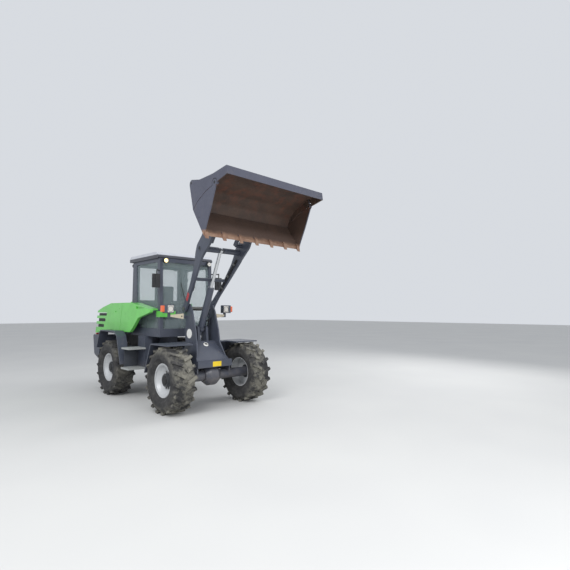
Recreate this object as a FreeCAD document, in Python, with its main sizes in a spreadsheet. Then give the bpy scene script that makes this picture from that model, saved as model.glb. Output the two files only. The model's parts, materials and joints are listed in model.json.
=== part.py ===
"""Compact articulated wheel loader with a raised, dumped bucket.

Millimetres. X points forward, Y to the machine's left, Z up. The origin is on the ground, under
the middle of the machine's length. Every size is a cell of the sheet "Sizes".
"""
import FreeCAD, Part
import math
import os
import re

os.makedirs("parts", exist_ok=True)
doc = FreeCAD.newDocument("wheel_loader")
Vec = FreeCAD.Vector

# Columns: name, value in millimetres or degrees
SIZES = (
    # wheels and axles
    ("wheelbase", 2260), ("half_track", 765), ("tyre_radius", 535), ("tyre_width", 400),
    ("lug_height", 30), ("lug_count", 18), ("lug_thick", 52), ("lug_across", 185), ("lug_slant", 28),
    ("bead_radius", 262), ("rim_wall", 12),
    ("hub_radius", 120), ("stub_radius", 45),
    ("axle_tube_radius", 85), ("diff_radius", 170),
    # articulation
    ("steer_pin_radius", 35), ("steer_back", 1130), ("pin_clearance", 0.05), ("lug_gap", 3),
    ("steer_barrel_radius", 38), ("steer_rod_radius", 18), ("steer_low", 480), ("steer_high", 860),
    ("steer_lug", 40),
    # rear frame and body
    ("rail_half", 250), ("rail_wall", 60), ("rail_low", 520), ("rail_high", 900),
    ("rear_reach", 3660), ("weight_half", 740), ("weight_top", 1130), ("tow_bore_radius", 16),
    ("hood_half", 740), ("hood_top", 1822),
    ("hood_wall", 30), ("hood_front", 2075), ("hood_low", 1245),
    ("cab_half", 560), ("cab_front", 800), ("cab_back", 2030), ("cab_floor", 1180),
    ("cab_roof_low", 2640), ("cab_roof_top", 2760), ("glass", 8),
    ("hinge_pin_radius", 8), ("knuckle_radius", 16),
    ("fender_half", 930),
    ("step_front", 1270), ("step_back", 1600), ("step_wall", 30),
    # front frame
    ("tower_inner", 225), ("tower_plate", 25), ("pivot_x", -420), ("pivot_z", 1700),
    ("bumper_half", 350), ("bumper_low", 690), ("bumper_top", 810), ("bumper_front", 165),
    # lift arm, in its own frame: along the line from its pivot to the bucket pin
    ("arm_length", 2266), ("arm_angle", 55.08), ("arm_plate", 40), ("arm_inner_low", 262),
    ("arm_inner", 380), ("arm_spread", 1100), ("arm_pin_radius", 35),
    ("cross_tube_radius", 29), ("lift_tube_radius", 50),
    ("lift_eye_along", 1223), ("lift_eye_up", 12),
    ("bucket_pin_radius", 30), ("pin_head_radius", 60), ("pin_head", 20), ("pin_head_gap", 2),
    # lift cylinder
    ("lift_base_x", -330), ("lift_base_z", 1330), ("lift_barrel_radius", 60),
    ("lift_rod_radius", 30), ("lift_barrel", 810), ("lift_eye", 60), ("lift_pin_radius", 30),
    ("lift_wall", 12),
    # tilt linkage
    ("tilt_base_along", 1360), ("tilt_base_up", 0), ("tilt_barrel_radius", 38),
    ("tilt_rod_radius", 20), ("tilt_barrel", 360), ("tilt_y", 250),
    ("lever_along", 1930), ("lever_length", 140), ("lever_angle", -25.9),
    ("rod_arm", 90), ("rod_arm_angle", -6),
    ("lever_in", 335), ("lever_plate", 35), ("link_in", 290), ("link_plate", 35),
    ("link_half", 22), ("link_pin_radius", 18), ("link_eye", 30),
    # bucket, in its own frame: forward along the floor and up, from the cutting edge
    ("dump_angle", 54.8), ("bucket_half", 965), ("bucket_pin_back", 891),
    ("bucket_pin_up", 181), ("side_plate", 20), ("hitch_in", 335),
    ("hitch_plate", 35), ("jaw_pivot_back", 432), ("jaw_pivot_up", 618),
    ("jaw_pin_radius", 18), ("jaw_ear", 52), ("seam", 8), ("tooth_count", 7),
    ("tooth_width", 60),
)

sheet = doc.addObject("Spreadsheet::Sheet", "Sizes")
for row, (name, value) in enumerate(SIZES, 1):
    sheet.set("A%d" % row, name)
    sheet.set("B%d" % row, str(value))
    sheet.setAlias("B%d" % row, name)
doc.recompute()


class Values:
    """The sheet's cells, read by name."""

    def __getattr__(self, name):
        return float(sheet.get(name))


S = Values()
nodes = {}


def turned(x, z, degrees):
    """A point turned about the origin in the XZ plane, from X towards Z."""
    c = math.cos(math.radians(degrees))
    s = math.sin(math.radians(degrees))
    return (x * c - z * s, x * s + z * c)


def arm_point(x, z):
    """From the arm's frame to one with its origin under the front axle."""
    u, w = turned(x, z, S.arm_angle)
    return (S.pivot_x + u, S.pivot_z + w)


def bucket_point(x, z):
    """From the bucket's frame, whose origin is the cutting edge, to the front axle's."""
    u, w = turned(x + S.bucket_pin_back, z - S.bucket_pin_up, -S.dump_angle)
    pin_x, pin_z = arm_point(S.arm_length, 0)
    return (pin_x + u, pin_z + w)


LIP_TOP = (-411, 949)
AXLE_X = (S.rear_reach - bucket_point(*LIP_TOP)[0]) / 2


def bound(thing, prop, formula):
    """Ties a property to the sheet by a formula of its cells' names."""
    thing.setExpression(prop, re.sub("[a-z_]+", lambda word: "Sizes." + word.group(), formula))


def rounded(corners):
    """Straight runs through corners (x, z), with an arc where a radius follows."""
    points = [tuple(c) + (0,) * (3 - len(c)) for c in corners]
    runs = []
    ends = []
    for i, (x, z, r) in enumerate(points):
        here = Vec(x, z, 0)
        if r == 0:
            ends.append((here, here, None))
            continue
        before = Vec(points[i - 1][0], points[i - 1][1], 0) - here
        after = Vec(points[(i + 1) % len(points)][0], points[(i + 1) % len(points)][1], 0) - here
        half = before.getAngle(after) / 2
        back = r / math.tan(half)
        before.normalize()
        after.normalize()
        start = here + before * back
        stop = here + after * back
        middle = before + after
        middle.normalize()
        centre = here + middle * (r / math.sin(half))
        ends.append((start, stop, centre - middle * r))
    for i, (start, stop, top) in enumerate(ends):
        if top is not None:
            runs.append(Part.Arc(start, top, stop))
        following = ends[(i + 1) % len(ends)][0]
        if (following - stop).Length > 1e-6:
            runs.append(Part.LineSegment(stop, following))
    return runs


def slab(name, corners, low, high):
    """An outline in the XZ plane, from one formula for y to another."""
    sketch = doc.addObject("Sketcher::SketchObject", name + "_outline")
    sketch.addGeometry(rounded([(c[0] + AXLE_X,) + tuple(c[1:]) for c in corners]), False)
    sketch.Placement = FreeCAD.Placement(Vec(0, 0, 0), FreeCAD.Rotation(Vec(1, 0, 0), 90))
    bound(sketch, "Placement.Base.y", low)
    solid = doc.addObject("Part::Extrusion", name)
    solid.Base = sketch
    solid.DirMode = "Custom"
    solid.Dir = Vec(0, 1, 0)
    solid.Solid = True
    bound(solid, "LengthFwd", "( %s ) - ( %s )" % (high, low))
    return solid


def box(name, x, y, z):
    """A block between two values for each of x, y and z."""
    solid = doc.addObject("Part::Box", name)
    solid.Length = x[1] - x[0]
    solid.Width = y[1] - y[0]
    solid.Height = z[1] - z[0]
    solid.Placement.Base = Vec(x[0] + AXLE_X, y[0], z[0])
    return solid


def bar(name, start, stop, radius):
    """A round bar between two points (x, y, z), its radius a formula."""
    a = Vec(start[0] + AXLE_X, start[1], start[2])
    b = Vec(stop[0] + AXLE_X, stop[1], stop[2])
    solid = doc.addObject("Part::Cylinder", name)
    bound(solid, "Radius", radius)
    solid.Height = (b - a).Length
    solid.Placement = FreeCAD.Placement(a, FreeCAD.Rotation(Vec(0, 0, 1), b - a))
    return solid


def pin(name, at, y, radius):
    """A bar across the machine, at (x, z), between two values of y."""
    return bar(name, (at[0], y[0], at[1]), (at[0], y[1], at[1]), radius)


def fused(name, pieces):
    if len(pieces) == 1:
        return pieces[0]
    solid = doc.addObject("Part::MultiFuse", name)
    solid.Shapes = pieces
    return solid


def cut(name, base, tools):
    solid = doc.addObject("Part::Cut", name)
    solid.Base = base
    solid.Tool = fused(name + "_tools", tools)
    return solid


def common(name, first, second):
    solid = doc.addObject("Part::Common", name)
    solid.Base = first
    solid.Tool = second
    return solid


def mirrored(name, source):
    """The same piece on the other side of the machine."""
    solid = doc.addObject("Part::Mirroring", name)
    solid.Source = source
    solid.Normal = Vec(0, 1, 0)
    return solid


def spun(name, corners, x, y, z):
    """An outline of (distance along Y, radius) turned about an axis along Y."""
    sketch = doc.addObject("Sketcher::SketchObject", name + "_outline")
    sketch.addGeometry(rounded(corners), False)
    turn = FreeCAD.Rotation(Vec(0, 1, 0), Vec(0, 0, 1), Vec(1, 0, 0), "ZXY")
    sketch.Placement = FreeCAD.Placement(Vec(x + AXLE_X, y, z), turn)
    solid = doc.addObject("Part::Revolution", name)
    solid.Source = sketch
    solid.Axis = Vec(0, 1, 0)
    solid.Base = Vec(x + AXLE_X, y, z)
    solid.Angle = 360
    solid.Solid = True
    return solid


def node(label, thing):
    """Names a finished piece."""
    thing.Label = label
    nodes[label] = thing


def both_sides(label, thing):
    """A right piece and its mirror image on the left, as one node."""
    node(label, fused(label, [thing, mirrored(label + "_mirror", thing)]))


# Wheels

def lug_blocks(place, x, y):
    """Two rows of slanted blocks around a tyre, staggered by half a step."""
    blocks = []
    step = 360 / S.lug_count
    radius = S.tyre_radius
    for row in (-1, 1):
        for i in range(int(S.lug_count)):
            block = doc.addObject("Part::Box", "lug_%s_%d_%d" % (place, row + 1, i))
            bound(block, "Length", "lug_thick")
            bound(block, "Width", "lug_across")
            bound(block, "Height", "lug_height + 12")
            corner = Vec(-S.lug_thick / 2, -S.lug_across / 2, radius - S.lug_height - 16)
            slant = FreeCAD.Placement(Vec(0, 0, 0), FreeCAD.Rotation(Vec(0, 0, 1), row * S.lug_slant))
            across = FreeCAD.Placement(Vec(0, row * 98, 0), FreeCAD.Rotation())
            around = FreeCAD.Placement(Vec(x + AXLE_X, y, radius),
                                       FreeCAD.Rotation(Vec(0, 1, 0), (i + row / 4) * step))
            block.Placement = around.multiply(across).multiply(slant).multiply(
                FreeCAD.Placement(corner, FreeCAD.Rotation()))
            blocks.append(block)
    return blocks


def wheel(place, x, side):
    """A tyre and its rim, side -1 on the right and 1 on the left."""
    half = S.tyre_width / 2
    y = side * S.half_track
    tread = S.tyre_radius - S.lug_height
    carcass = spun("tyre_" + place, (
        (-half * 0.62, S.bead_radius), (-half * 0.96, S.bead_radius + 90), (-half * 0.96, tread - 60),
        (-half * 0.75, tread), (half * 0.75, tread), (half * 0.96, tread - 60),
        (half * 0.96, S.bead_radius + 90), (half * 0.62, S.bead_radius)), x, y, S.tyre_radius)
    tyre = fused("tyre_lugged_" + place, [carcass] + lug_blocks(place, x, y))
    tyre.Refine = False
    node("tyre_" + place, tyre)
    out = side * half * 0.62
    rim_inner = S.bead_radius - S.rim_wall
    disc = side * 20
    rim = cut("rim_bored_" + place, spun("rim_" + place, (
        (-out, S.bead_radius), (out, S.bead_radius), (out, rim_inner), (disc + side * 60, rim_inner - 40),
        (disc + side * 20, S.hub_radius + 30), (disc + side * 20, S.hub_radius),
        (disc + side * 80, S.hub_radius - 20),
        (disc + side * 80, 0), (disc, 0), (disc, rim_inner), (-out, rim_inner)), x, y, S.tyre_radius),
              [pin("stub_room_" + place, (x, S.tyre_radius), (y - 55, y + 55),
                   "stub_radius + pin_clearance")])
    node("rim_" + place, rim)


for place, axle, side in (("front_right", 0, -1), ("front_left", 0, 1),
                          ("rear_right", -S.wheelbase, -1), ("rear_left", -S.wheelbase, 1)):
    wheel(place, axle, side)


def axle_housing(label, x):
    """Tube between the wheels, the round differential housing in its middle, a stub into each hub."""
    reach = S.half_track + 16
    tube = pin(label + "_tube", (x, S.tyre_radius), (-reach, reach), "axle_tube_radius")
    middle = spun(label + "_diff", ((-150, 0), (-150, 110), (-70, S.diff_radius), (70, S.diff_radius),
                                    (150, 110), (150, 0)), x, 0, S.tyre_radius)
    stubs = pin(label + "_stubs", (x, S.tyre_radius), (-reach - 36, reach + 36), "stub_radius")
    node(label, fused(label, [tube, middle, stubs]))


axle_housing("front_axle", 0)
axle_housing("rear_axle", -S.wheelbase)

# Articulation: the rear frame's two lugs above and below the front frame's

steer_x = -S.steer_back
lug = S.steer_lug


rear_lugs = []
steer_pins = []
front_lugs = []
bores = []
for i, z in enumerate((S.steer_low, S.steer_high)):
    rear_lugs.append(box("rear_lug_low%d" % i, (steer_x - 260, steer_x + 70), (-90, 90), (z - lug, z)))
    rear_lugs.append(box("rear_lug_high%d" % i, (steer_x - 260, steer_x + 70), (-90, 90),
                         (z + lug + 2 * S.lug_gap, z + 2 * lug + 2 * S.lug_gap)))
    front_lugs.append(box("front_lug%d" % i, (steer_x - 70, steer_x + 260), (-90, 90),
                          (z + S.lug_gap, z + lug + S.lug_gap)))
    bores.append(bar("lug_bore%d" % i, (steer_x, 0, z - 200), (steer_x, 0, z + 300),
                     "steer_pin_radius + pin_clearance"))
    steer_pins.append(bar("steer_pin%d" % i, (steer_x, 0, z - lug), (steer_x, 0, z + 2 * lug + 2 * S.lug_gap),
                          "steer_pin_radius"))

# Rear frame: two rails, cross walls, a narrow neck and the lugs

back = -S.rear_reach
cyl_base = (steer_x - 620, 300)
cyl_eye = (steer_x + 280, 280)
cyl_z = 700
rail_end = steer_x - 590
rails = [box("rail%d" % i, (back + 120, rail_end), (y, y + S.rail_wall), (S.rail_low, S.rail_high))
         for i, y in enumerate((-S.rail_half, S.rail_half - S.rail_wall))]
axle_room = pin("axle_room", (-S.wheelbase, S.tyre_radius), (-S.half_track, S.half_track),
                "axle_tube_radius")
neck_wall = box("rear_neck_wall", (rail_end - 60, rail_end), (-S.rail_half, S.rail_half),
                (S.rail_low, S.rail_high))
rear_neck = box("rear_neck", (rail_end, steer_x - 200), (-90, 90),
                (S.steer_low - lug, S.steer_high + 2 * lug + 2 * S.lug_gap))
cross = [box("rail_cross%d" % i, (x - 30, x + 30), (-S.rail_half, S.rail_half),
             (S.rail_high - 150, S.rail_high))
         for i, x in enumerate((-2700, -3300))]
ledges = []
for i, side in enumerate((-1, 1)):
    for j, z in enumerate((cyl_z - 62, cyl_z + 22)):
        ledges.append(box("rear_ledge%d%d" % (i, j), (cyl_base[0] - 40, cyl_base[0] + 40),
                          sorted((side * (S.rail_half - 5), side * (cyl_base[1] + 40))), (z, z + 40)))
base_bores = [bar("steer_base_bore%d" % i, (cyl_base[0], y, cyl_z - 100), (cyl_base[0], y, cyl_z + 100),
                  "link_pin_radius + pin_clearance") for i, y in enumerate((-cyl_base[1], cyl_base[1]))]
cab_mounts = [box("cab_mount%d" % i, (x - 40, x + 40), (-S.rail_half, S.rail_half),
                  (S.rail_high, S.cab_floor))
              for i, x in enumerate((-1850,))]
front_mount = box("cab_mount_front", (rail_end - 40, steer_x - 200), (-90, 90), (S.rail_high, S.cab_floor))
deck_plates = [box("arch_deck%d" % i, (-2740, -2035), sorted((side * (S.rail_half - 10), side * S.hood_half)),
                   (1205, 1225)) for i, side in enumerate((-1, 1))]
deck_post = box("arch_post", (-2300, -2220), (-S.rail_half, S.rail_half), (S.rail_high, 1205))
rear_frame = cut("rear_frame", fused("rear_frame_body", rails + rear_lugs + cross + ledges + cab_mounts
                                     + deck_plates + [neck_wall, rear_neck, front_mount, deck_post]),
                 [axle_room] + bores + base_bores)
node("rear_frame", rear_frame)
base_pins = [bar("steer_base_pin%d" % i, (cyl_base[0], y, cyl_z - 62), (cyl_base[0], y, cyl_z + 62),
                 "link_pin_radius")
             for i, y in enumerate((-cyl_base[1], cyl_base[1]))]
node("frame_pins", fused("frame_pins", steer_pins + base_pins))

# Counterweight, hood, cowl and engine

weight = slab("counterweight", ((back, S.weight_top, 40), (back + 100, 700, 60), (back + 370, 610, 30),
                                (back + 420, 905, 0), (back + 420, S.weight_top, 0)),
              "-weight_half", "weight_half")
tow = cut("tow_clevis", slab("tow_block", ((back + 20, 600, 20), (back + 20, 740, 20), (back + 160, 740),
                                        (back + 260, 700), (back + 260, 600)),
                             "-60", "60"),
          [box("tow_slot", (back - 40, back + 90), (-70, 70), (650, 690)),
           bar("tow_bore", (back + 55, 0, 550), (back + 55, 0, 800), "tow_bore_radius")])
node("counterweight", cut("counterweight_cut", fused("counterweight_all", [weight, tow]), [
    box("rail_room", (back + 120, back + 500), (-S.rail_half, S.rail_half),
        (S.rail_low - 100, S.rail_high))]))

hood_outline = ((-S.hood_front - 110, S.hood_low), (-S.hood_front, S.hood_top), (-2660, 1822, 300),
                (back + 550, 1740, 200), (back + 240, 1660, 60), (back + 130, 1165, 30),
                (back + 630, S.hood_low, 0))
hood_inner = ((-S.hood_front + 100, S.hood_low - 300), (-S.hood_front + 100, S.hood_top - S.hood_wall),
              (-2660, 1822 - S.hood_wall, 270), (back + 560, 1740 - S.hood_wall, 170),
              (back + 270, 1660 - S.hood_wall, 30), (back + 165, 1100, 0))
louvres = []
# Columns: height of the slot's middle, its rear end, its front end
for i, (z, rear, front) in enumerate(((1590, back + 200, back + 800), (1465, back + 170, back + 730),
                                         (1340, back + 145, back + 650))):
    louvres.append(slab("louvre%d" % i, ((rear, z - 34, 8), (rear + 14, z + 34, 8), (front, z + 34, 30),
                                         (front - 34, z - 34, 30)), "-hood_half - 10", "hood_half + 10"))
vent = slab("hood_vent", ((-2440, 1640, 6), (-2440, 1655, 6), (-2330, 1655, 6), (-2330, 1640, 6)),
            "-hood_half - 10", "-hood_half + 12")
back_louvres = [box("back_louvre%d" % i, (back + 40, back + 330), (-560, 560), (z - 34, z + 34))
                for i, z in enumerate((1340, 1465, 1590))]
hood_shell = cut("hood_shell", slab("hood_outer", hood_outline, "-hood_half", "hood_half"),
                 [slab("hood_inside", hood_inner, "-hood_half + hood_wall", "hood_half - hood_wall")])
lid_hinge = (-2071, S.hood_top + 14)
hood_knuckles = []
hood_bores = []
cowl_knuckles = []
for i, y in enumerate((-520, 520)):
    hood_knuckles.append(pin("hood_knuckle%d" % i, lid_hinge, (y - 20, y + 20), "knuckle_radius - 4"))
    hood_knuckles.append(box("hood_tab%d" % i, (-2130, lid_hinge[0] - 3), (y - 20, y + 20),
                             (S.hood_top - 1, lid_hinge[1])))
    hood_bores.append(pin("hood_bore%d" % i, lid_hinge, (y - 40, y + 40),
                          "hinge_pin_radius - 2 + pin_clearance"))
    cowl_knuckles.append(pin("hood_pin%d" % i, lid_hinge, (y - 42, y + 42), "hinge_pin_radius - 2"))
    for j, side in enumerate((-1, 1)):
        ends = sorted((y + side * 22, y + side * 42))
        cowl_knuckles.append(pin("cowl_knuckle%d%d" % (i, j), lid_hinge, ends, "knuckle_radius - 4"))
        cowl_knuckles.append(box("cowl_tab%d%d" % (i, j), (-2064, -2024), ends,
                                 (S.hood_top - 1, S.hood_top + 12)))
node("hood", cut("hood", fused("hood_hinged", [cut("hood_open", hood_shell, louvres + back_louvres + [vent])]
                               + hood_knuckles), hood_bores))
grille_sides = [slab("grille_side%d" % i, ((-3450, 1285), (-3390, 1612), (-2840, 1612), (-2840, 1285)), low,
                     high)
                for i, (low, high) in enumerate((("-hood_half + hood_wall", "-hood_half + hood_wall + 12"),
                                                 ("hood_half - hood_wall - 12", "hood_half - hood_wall")))]
grille_back = slab("grille_back", ((-3454, 1285), (-3392, 1612), (-3380, 1612), (-3442, 1285)),
                   "-hood_half + hood_wall", "hood_half - hood_wall")
node("grille", fused("grille", grille_sides + [grille_back]))

# Columns: side, outline of the cowl beside the cab
cowls = []
for word, low, high, corners in (
        ("right", "-hood_half", "-hood_half + 60",
         ((-2176, S.hood_low), (-2067, S.hood_top), (-1640, 1820, 200), (-850, 1690, 30), (-850, 1630, 20),
          (-1340, 1525, 80), (-1580, 1320, 60), (-1700, S.hood_low, 0))),
        ("left", "hood_half - 60", "hood_half",
         ((-2176, S.hood_low), (-2067, S.hood_top), (-1860, S.hood_top), (-1860, S.hood_low)))):
    cowls.append(slab("cowl_" + word, corners, low, high))
ledge_right = slab("cowl_ledge_right", ((-2067, 1790), (-2067, S.hood_top), (-1640, 1820, 200), (-900, 1698),
                                        (-900, 1670), (-1640, 1790, 200)), "-hood_half + 1", "-cab_half")
ledge_left = box("cowl_ledge_left", (-2060, -1860), (S.cab_half, S.hood_half - 1), (1790, S.hood_top))
ledge_back = box("cowl_ledge_back", (-2066, -S.cab_back), (-S.hood_half + 1, S.hood_half - 1),
                 (1790, S.hood_top))
wing_slot = slab("wing_slot", ((-1420, 1700, 14), (-1440, 1745, 14), (-1120, 1725, 14), (-1140, 1690, 14)),
                 "-hood_half - 10", "-hood_half + 25")
cowl_shell = cut("cowl_shell", fused("cowl_all", cowls + [ledge_right, ledge_left, ledge_back]), [wing_slot])
node("cowl", fused("cowl", [cowl_shell] + cowl_knuckles))

node("engine", box("engine", (-3230, -2450), (-220, 220), (S.rail_high, 1580)))

# Cab: a hollow shell with its windows cut, with roof, panes and door apart

cab_y = S.cab_half
cab_b = -S.cab_back
cab_f = -S.cab_front
shell_outer = slab("cab_outer", ((cab_b, S.cab_floor), (cab_b + 20, S.cab_roof_low),
                                 (cab_f - 60, S.cab_roof_low),
                                 (cab_f, 1330, 100), (cab_f, S.cab_floor)), "-cab_half", "cab_half")
shell_inner = slab("cab_inner", ((cab_b + 60, S.cab_floor + 40), (cab_b + 80, S.cab_roof_low - 40),
                                 (cab_f - 130, S.cab_roof_low - 40), (cab_f - 70, 1330, 60),
                                 (cab_f - 70, S.cab_floor + 40)), "-cab_half + 60", "cab_half - 60")
side_hole = slab("cab_side_hole", ((-1600, 1335, 30), (-1780, 1560, 80), (-1850, 2570, 40), (-950, 2570, 40),
                                   (-885, 1335, 30)),
                 "-cab_half - 10", "0")
door_hole = slab("cab_door_hole", ((-1830, 1220, 30), (-1830, 2570, 40), (-945, 2570, 40), (-890, 1220, 30)),
                 "0", "cab_half + 10")
front_hole = box("cab_front_hole", (-960, -700), (-500, 500), (1330, 2570))
rear_hole = box("cab_rear_hole", (-2100, -1900), (-440, 440), (1880, 2550))
cab_shell = cut("cab_shell", shell_outer, [shell_inner, side_hole, door_hole, front_hole, rear_hole])
hinge = (-1842, 580)
frame_knuckles = []
door_knuckles = []
door_bores = []
for i, z in enumerate((1450, 2330)):
    for j, low in enumerate((z - 62, z + 32)):
        frame_knuckles.append(bar("frame_knuckle%d%d" % (i, j), hinge + (low,), hinge + (low + 30,),
                                  "knuckle_radius"))
        frame_knuckles.append(box("frame_tab%d%d" % (i, j), (hinge[0] - 15, hinge[0] - 1),
                                  (cab_y - 1, hinge[1]),
                                  (low, low + 30)))
    frame_knuckles.append(bar("door_pin%d" % i, hinge + (z - 62,), hinge + (z + 62,), "hinge_pin_radius"))
    door_knuckles.append(bar("door_knuckle%d" % i, hinge + (z - 30,), hinge + (z + 30,), "knuckle_radius"))
    door_knuckles.append(box("door_tab%d" % i, (hinge[0], hinge[0] + 70), (hinge[1] - 25, hinge[1] - 5),
                             (z - 30, z + 30)))
    door_bores.append(bar("door_bore%d" % i, hinge + (z - 40,), hinge + (z + 40,),
                          "hinge_pin_radius + pin_clearance"))
knuckle_room = [box("knuckle_room%d" % i, (hinge[0] - 22, hinge[0] + 30), (cab_y - 8, cab_y + 60),
                    (z - 31, z + 31))
                for i, z in enumerate((1450, 2330))]
node("cab_frame", fused("cab_frame", [cut("cab_shell_open", cab_shell, knuckle_room)] + frame_knuckles))
node("cab_roof", slab("cab_roof", ((-2110, S.cab_roof_low, 20), (-2110, S.cab_roof_top - 30, 40),
                                   (-2040, S.cab_roof_top, 60), (-930, S.cab_roof_top, 80),
                                   (-850, S.cab_roof_low, 20)), "-cab_half - 30", "cab_half + 30"))
node("windscreen", slab("windscreen", ((-830, 1331), (-887, 2569), (-895, 2569), (-838, 1331)), "-500",
                        "500"))
node("rear_window", box("rear_window", (-2006, -1998), (-440, 440), (1880, 2550)))
node("side_window", slab("side_window", ((-1600, 1335, 30), (-1780, 1560, 80), (-1850, 2570, 40),
                                         (-950, 2570, 40),
                                        (-885, 1335, 30)),
                         "-cab_half + 14", "-cab_half + 14 + glass"))
door_outer = slab("door_outer", ((-1824, 1226, 30), (-1824, 2564, 40), (-951, 2564, 40), (-896, 1226, 30)),
                  "cab_half - 40", "cab_half - 5")
door_pane = ((-1770, 1420, 40), (-1770, 2510, 40), (-1005, 2510, 40), (-955, 1420, 40))
door_panel = cut("door_panel", door_outer, [slab("door_window", door_pane, "cab_half - 60", "cab_half + 10")])
handle = box("door_handle", (-985, -955), (cab_y - 6, cab_y + 14), (1340, 1400))
node("door", cut("door", fused("door_all", [door_panel, handle] + door_knuckles), door_bores))
node("door_glass", slab("door_glass", door_pane, "cab_half - 28", "cab_half - 28 + glass"))
node("seat_base", box("seat_base", (-1640, -1340), (-170, 170), (S.cab_floor + 40, 1560)))
node("seat", fused("seat", [box("seat_pad", (-1720, -1250), (-240, 240), (1560, 1670)),
                            box("seat_rest", (-1800, -1690), (-230, 230), (1600, 2200))]))
column = bar("column_tube", (-990, 0, S.cab_floor + 50), (-1085, 0, 1820), "30")
column_foot = box("column_foot", (-1050, -940), (-60, 60), (S.cab_floor + 40, S.cab_floor + 70))
wheel_turn = FreeCAD.Rotation(Vec(0, 0, 1), Vec(-95, 0, 640))
ring_sketch = doc.addObject("Sketcher::SketchObject", "steering_ring_outline")
ring_sketch.addGeometry(rounded(((166, -12), (182, -12), (190, 0), (182, 12), (166, 12), (158, 0))), False)
wheel_ring = doc.addObject("Part::Revolution", "steering_ring")
wheel_ring.Source = ring_sketch
wheel_ring.Axis = Vec(0, 1, 0)
wheel_ring.Angle = 360
wheel_ring.Solid = True
wheel_ring.Placement = FreeCAD.Placement(Vec(-1085 + AXLE_X, 0, 1820),
                                         wheel_turn.multiply(FreeCAD.Rotation(Vec(1, 0, 0), 90)))
spoke = pin("steering_spoke", (-1085, 1820), (-165, 165), "10")
node("steering_column", fused("steering_column", [column, column_foot, wheel_ring, spoke]))

# Fenders, tanks and steps

rear_arch = slab("rear_arch", ((-2900, 900, 0), (-2740, 1268, 120), (-1980, 1268, 60), (-1835, 1180, 60),
                               (-1630, 650, 0), (-1655, 640, 0), (-1860, 1165, 50), (-1990, 1245, 50),
                               (-2730, 1245, 100), (-2885, 890, 0)),
                 "-fender_half", "-hood_half - 6")
rear_arch_web = box("rear_arch_web", (-2730, -2040), (-S.hood_half - 20, -S.hood_half), (1206, 1224))
rear_arch_lip = box("rear_arch_lip", (-2730, -2000), (-S.hood_half - 26, -S.hood_half - 6), (1206, 1250))
both_sides("rear_fender", fused("rear_fender_right", [rear_arch, rear_arch_web, rear_arch_lip]))
tank = box("tank", (-1610, -1310), (-600, -450), (600, S.cab_floor))
both_sides("side_tank", tank)
treads = []
for i, z in enumerate((570, 940)):
    treads.append(box("tread%d" % i, (-S.step_back, -S.step_front), (-S.fender_half, -600),
                      (z, z + S.step_wall)))
step_side = box("step_side", (-S.step_back - 15, -S.step_back), (-S.fender_half + 60, -600), (570, 970))
both_sides("steps", fused("steps_right", treads + [step_side]))
front_arch = slab("front_arch", ((-620, 610, 0), (-410, 1110, 60), (160, 1110, 0), (160, 1088, 0),
                                 (-398, 1088, 50), (-600, 600, 0)),
                  "-fender_half", "-450")
front_stay = box("front_stay", (-400, -180), (-452, -S.tower_inner - S.tower_plate - 4), (1088, 1110))
both_sides("front_fender", fused("front_fender_right", [front_arch, front_stay]))

# Front frame: towers, deck, bumper beam and the neck to the lugs

tower = slab("tower", ((-300, 1790, 40), (-220, 1650, 40), (-105, 1323, 200), (-60, 1105, 0), (-420, 1105, 0),
                       (-455, 1240, 60), (-430, 1469, 60), (-490, 1640, 40), (-480, 1760, 50)),
             "-tower_inner - tower_plate", "-tower_inner")


def flared(name, sections):
    """A solid through level rectangles, each (x from, x to, y from, y to, z)."""
    wires = []
    for i, (x0, x1, y0, y1, z) in enumerate(sections):
        corners = [Vec(x + AXLE_X, y, 0) for x, y in ((x0, y0), (x1, y0), (x1, y1), (x0, y1))]
        sketch = doc.addObject("Sketcher::SketchObject", "%s_section%d" % (name, i))
        sketch.addGeometry([Part.LineSegment(corners[k], corners[(k + 1) % 4]) for k in range(4)], False)
        sketch.Placement.Base = Vec(0, 0, z)
        wires.append(sketch)
    solid = doc.addObject("Part::Loft", name)
    solid.Sections = wires
    solid.Solid = True
    solid.Ruled = True
    return solid


inner = S.tower_inner
outer = S.tower_inner + S.tower_plate
wide = S.bumper_half - 10
cheek = flared("cheek", ((-420, -60, -outer, -inner, 1105), (-420, 120, -wide, -wide + S.tower_plate, 690)))
cheek_foot = box("cheek_foot", (-420, 120), (-wide, -wide + S.tower_plate), (600, 691))
deck = flared("deck", ((-300, -205, -inner, inner, 1108), (-300, 112, -wide + 5, wide - 5, 790)))
deck_room = flared("deck_room", ((-299, -230, -inner - 1, inner + 1, 1109),
                                 (-299, 88, -wide - 1, wide + 1, 789)))
neck_top = S.steer_high + lug + S.lug_gap
neck = box("neck", (steer_x + 140, -300), (-180, 180), (S.steer_low + S.lug_gap, neck_top))
neck_room = box("neck_room", (steer_x + 165, -320), (-155, 155), (S.steer_low + 60, neck_top + 10))
neck_end = flared("neck_end", ((-420, -300, -230, 230, 1107), (-420, -300, -wide + 5, wide - 5, 600)))
deck_solid = cut("deck_solid", deck, [deck_room])
deck_top = box("deck_top", (-300, -206), (-inner, inner), (1100, 1120))
bumper = box("bumper", (95, S.bumper_front), (-S.bumper_half, S.bumper_half), (S.bumper_low, S.bumper_top))
mast = slab("lift_bracket", ((-430, neck_top, 0), (-400, 1370, 30), (-330, 1405, 40), (-260, 1370, 30),
                             (-230, 1101, 0),
                             (-300, 1101, 0), (-300, neck_top, 0)), "-110", "110")
mast_slot = box("lift_bracket_slot", (-500, -200), (-66, 66), (1121, 1500))
eye_ledges = []
for i, side in enumerate((-1, 1)):
    for j, z in enumerate((cyl_z - 65, cyl_z + 25)):
        eye_ledges.append(box("front_ledge%d%d" % (i, j), (cyl_eye[0] - 35, cyl_eye[0] + 35),
                              sorted((side * 175, side * (cyl_eye[1] + 35))), (z, z + 40)))
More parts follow.
